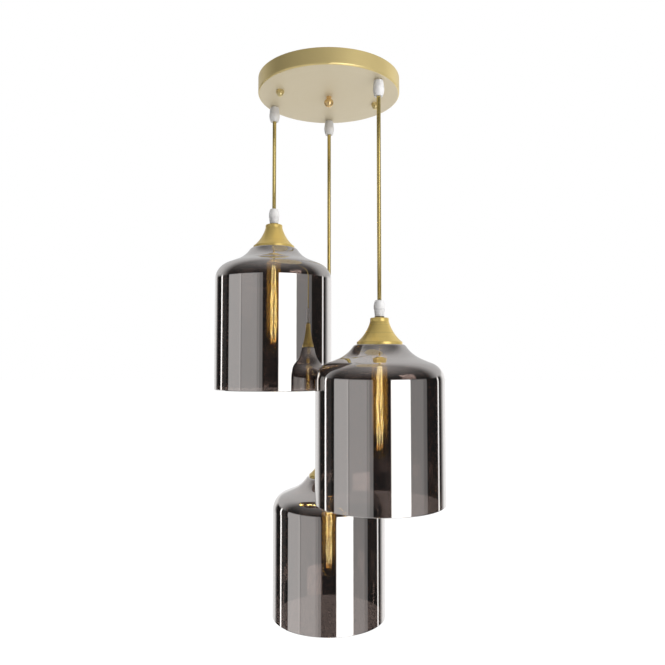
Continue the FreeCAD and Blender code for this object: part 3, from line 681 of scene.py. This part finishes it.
class PENDANT_OT_studio(bpy.types.Operator):
    """White surroundings with dark and bright uprights, floor, lights and camera"""
    bl_idname = "pendant.studio"
    bl_label = "Studio"
    # Bright and dull uprights round the object: from and to in degrees, softness, level.
    # 0 degrees lies behind the camera, and 90 to its right.
    uprights = ((-115.5, -111.5, 0.8, 2.2), (-110.0, -97.0, 2.0, 0.03), (-90.0, -60.0, 1.0, 0.60),
                (-60.0, -24.0, 4.0, 0.46), (-24.0, -15.5, 1.2, 0.26), (15.0, 49.5, 1.2, 2.4),
                (50.0, 76.0, 1.5, 0.30), (76.0, 84.0, 1.0, 0.20), (115.0, 119.0, 0.8, 1.6))
    back_left = (-147.0, -130.0, 0.85)   # fades out between these degrees, and its level
    back_right = (124.0, 143.0)          # fades in between these degrees, to a level of 1
    gaps = 0.015                         # level between the uprights
    walls_top = (8.0, 14.0)              # the uprights give way to the ceiling, in degrees above level
    ceiling_start = 12.0                 # from here up the ceiling brightens, in degrees above level
    ceiling = (0.02, 0.36)               # its level at the start, and what is added at the zenith
    ceiling_bend = 1.6                   # over 1, the brightening comes late
    behind = (0.6, 0.58)                 # how far back it is in full, and the level there
    ground = (50.0, 65.0, 0.8)           # fades in between these degrees below level, and its level
    all_round = 0.22                     # level of the light on matt surfaces, from every side
    # More of it from the front right: its level, the way towards it, and the share of that way
    # from which it fades in and at which it is in full. The same from below.
    front_right = (1.45, (0.85, -0.50, 0.15), 0.10, 0.95)
    from_below = (0.85, (0.0, 0.0, -1.0), 0.3, 0.9)
    # Each lamp's name, place, side length and power
    lamps = (("key", (1.5, -1.3, 0.4), 0.9, 14.0), ("fill", (-1.6, -1.2, 0.3), 1.2, 2.0))
    aim = Vector((0.0, 0.0, -0.4))       # the point that the lamps face

    def execute(self, context):
        studio = context.scene.pendant_studio
        self.surroundings(context)
        self.floor(studio)
        self.lights(context)
        self.camera(context, studio)
        return {"FINISHED"}

    def walls(self, graph, turn):
        """Level of the uprights at an angle round the object."""
        start, end, level = self.back_left
        light = (1.0 - graph.ease(turn, start, end)) * level
        light = light + graph.ease(turn, *self.back_right) + self.gaps
        for low, high, soft, level in self.uprights:
            fade_in = graph.ease(turn, low - soft, low + soft)
            fade_out = graph.ease(turn, high - soft, high + soft)
            light = light + fade_in * (1.0 - fade_out) * level
        return light

    def overhead(self, graph, rise, y):
        """Level above the uprights: brighter the steeper it is seen, and bright behind the object."""
        start, added = self.ceiling
        full, level = self.behind
        climb = (rise - self.ceiling_start) / (90.0 - self.ceiling_start)
        climb = graph.maths("MAXIMUM", climb, 0.0) ** self.ceiling_bend
        return between(graph.ease(y, 0.0, full), start + climb * added, level)

    def soft_light(self, graph, x, y, z):
        """Level for matt surfaces: little all round, more from the front right and from below."""
        light = self.all_round
        for level, towards, start, full in (self.front_right, self.from_below):
            facing = x * towards[0] + y * towards[1] + z * towards[2]
            light = light + graph.ease(facing, start, full) * level
        return light

    def surroundings(self, context):
        """White for the camera and through the glass; a studio of uprights in what shines."""
        world = bpy.data.worlds.new("studio")
        world.use_nodes = True
        context.scene.world = world
        graph = Graph(world.node_tree)
        degrees = 180.0 / math.pi
        x, y, z = graph.parts(graph.add("ShaderNodeTexCoord", give="Generated"))
        turn = graph.maths("ARCTAN2", x, -y) * degrees
        rise = graph.maths("ARCSINE", z) * degrees
        start, full, level = self.ground
        studio = between(graph.ease(rise, *self.walls_top),
                         self.walls(graph, turn), self.overhead(graph, rise, y))
        studio = between(graph.ease(-rise, start, full), studio, level)
        seen = between(mirrored(graph), 1.0, studio)
        strength = between(graph.ray("Is Diffuse Ray"), seen, self.soft_light(graph, x, y, z))
        sky = graph.add("ShaderNodeBackground", {}, {"Color": (1.0, 1.0, 1.0), "Strength": strength})
        end = world.node_tree.nodes.new("ShaderNodeOutputWorld")
        world.node_tree.links.new(sky.socket, end.inputs["Surface"])

    def floor(self, studio):
        """A white floor for the camera, which matt and shiny surfaces don't see."""
        half = 60.0                      # far enough for its edges to be out of every view
        z = -studio.floor_drop
        corners = [(-half, -half, z), (half, -half, z), (half, half, z), (-half, half, z)]
        thing = mesh_object("studio_floor", corners, [(0, 1, 2, 3)], smooth=False)

        def build(graph):
            seen = graph.maths("MAXIMUM", graph.ray("Is Camera Ray"), graph.ray("Is Transmission Ray"))
            matt = graph.add("ShaderNodeBsdfDiffuse", {}, {"Color": (0.9, 0.9, 0.9)})
            white = graph.add("ShaderNodeEmission", {}, {"Color": (1.0, 1.0, 1.0), "Strength": 1.15})
            shown = graph.add("ShaderNodeMixShader", {}, {0: seen * 0.85, 1: matt, 2: white})
            nothing = graph.add("ShaderNodeBsdfTransparent", {}, {"Color": (1.0, 1.0, 1.0)})
            return graph.add("ShaderNodeMixShader", {}, {0: mirrored(graph), 1: shown, 2: nothing})
        thing.data.materials.append(finish("studio_floor", build))
        thing.visible_glossy = False
        thing.visible_diffuse = False

    def lights(self, context):
        """Square lamps that light the object and don't show in what shines."""
        for name, place, size, power in self.lamps:
            lamp = bpy.data.lights.new(name, "AREA")
            lamp.size = size
            lamp.energy = power
            thing = bpy.data.objects.new(name, lamp)
            thing.location = place
            thing.rotation_euler = (self.aim - thing.location).to_track_quat("-Z", "Y").to_euler()
            thing.visible_glossy = False
            context.scene.collection.objects.link(thing)

    def camera(self, context, studio):
        """A camera that looks along +Y, turned up by its tilt."""
        data = bpy.data.cameras.new("camera")
        data.sensor_width = 36.0
        data.lens = studio.focal_pixels / PHOTO_SIDE * data.sensor_width
        data.clip_start = 0.01
        thing = bpy.data.objects.new("camera", data)
        thing.location = studio.eye
        thing.rotation_euler = (math.pi / 2 + studio.tilt, 0.0, 0.0)
        context.scene.collection.objects.link(thing)
        context.scene.camera = thing
        context.scene.view_settings.view_transform = "Standard"


STEPS = (PENDANT_OT_studio, PENDANT_OT_cables, PENDANT_OT_gold_work, PENDANT_OT_cord_grips,
         PENDANT_OT_fixings, PENDANT_OT_wiring, PENDANT_OT_lampholders, PENDANT_OT_shades,
         PENDANT_OT_bulbs)
GROUPS = (("pendant_sizes", PendantSizes), ("pendant_finishes", PendantFinishes),
          ("pendant_studio", PendantStudio))


class PENDANT_PT_panel(bpy.types.Panel):
    """Lists the steps that dress the pendant"""
    bl_label = "Cluster pendant"
    bl_idname = "PENDANT_PT_panel"
    bl_space_type = "VIEW_3D"
    bl_region_type = "UI"
    bl_category = "Pendant"

    def draw(self, context):
        for step in STEPS:
            self.layout.operator(step.bl_idname)
        for group_name, group in GROUPS:
            box = self.layout.box()
            for value in group.__annotations__:
                box.prop(getattr(context.scene, group_name), value)


def register():
    for name, group in GROUPS:
        bpy.utils.register_class(group)
        setattr(bpy.types.Scene, name, bpy.props.PointerProperty(type=group))
    for step in STEPS:
        bpy.utils.register_class(step)
    bpy.utils.register_class(PENDANT_PT_panel)


def unregister():
    bpy.utils.unregister_class(PENDANT_PT_panel)
    for step in reversed(STEPS):
        bpy.utils.unregister_class(step)
    for name, group in reversed(GROUPS):
        delattr(bpy.types.Scene, name)
        bpy.utils.unregister_class(group)


def main():
    register()
    for step in STEPS:
        family, call = step.bl_idname.split(".")
        getattr(getattr(bpy.ops, family), call)()


if __name__ == "__main__":
    main()
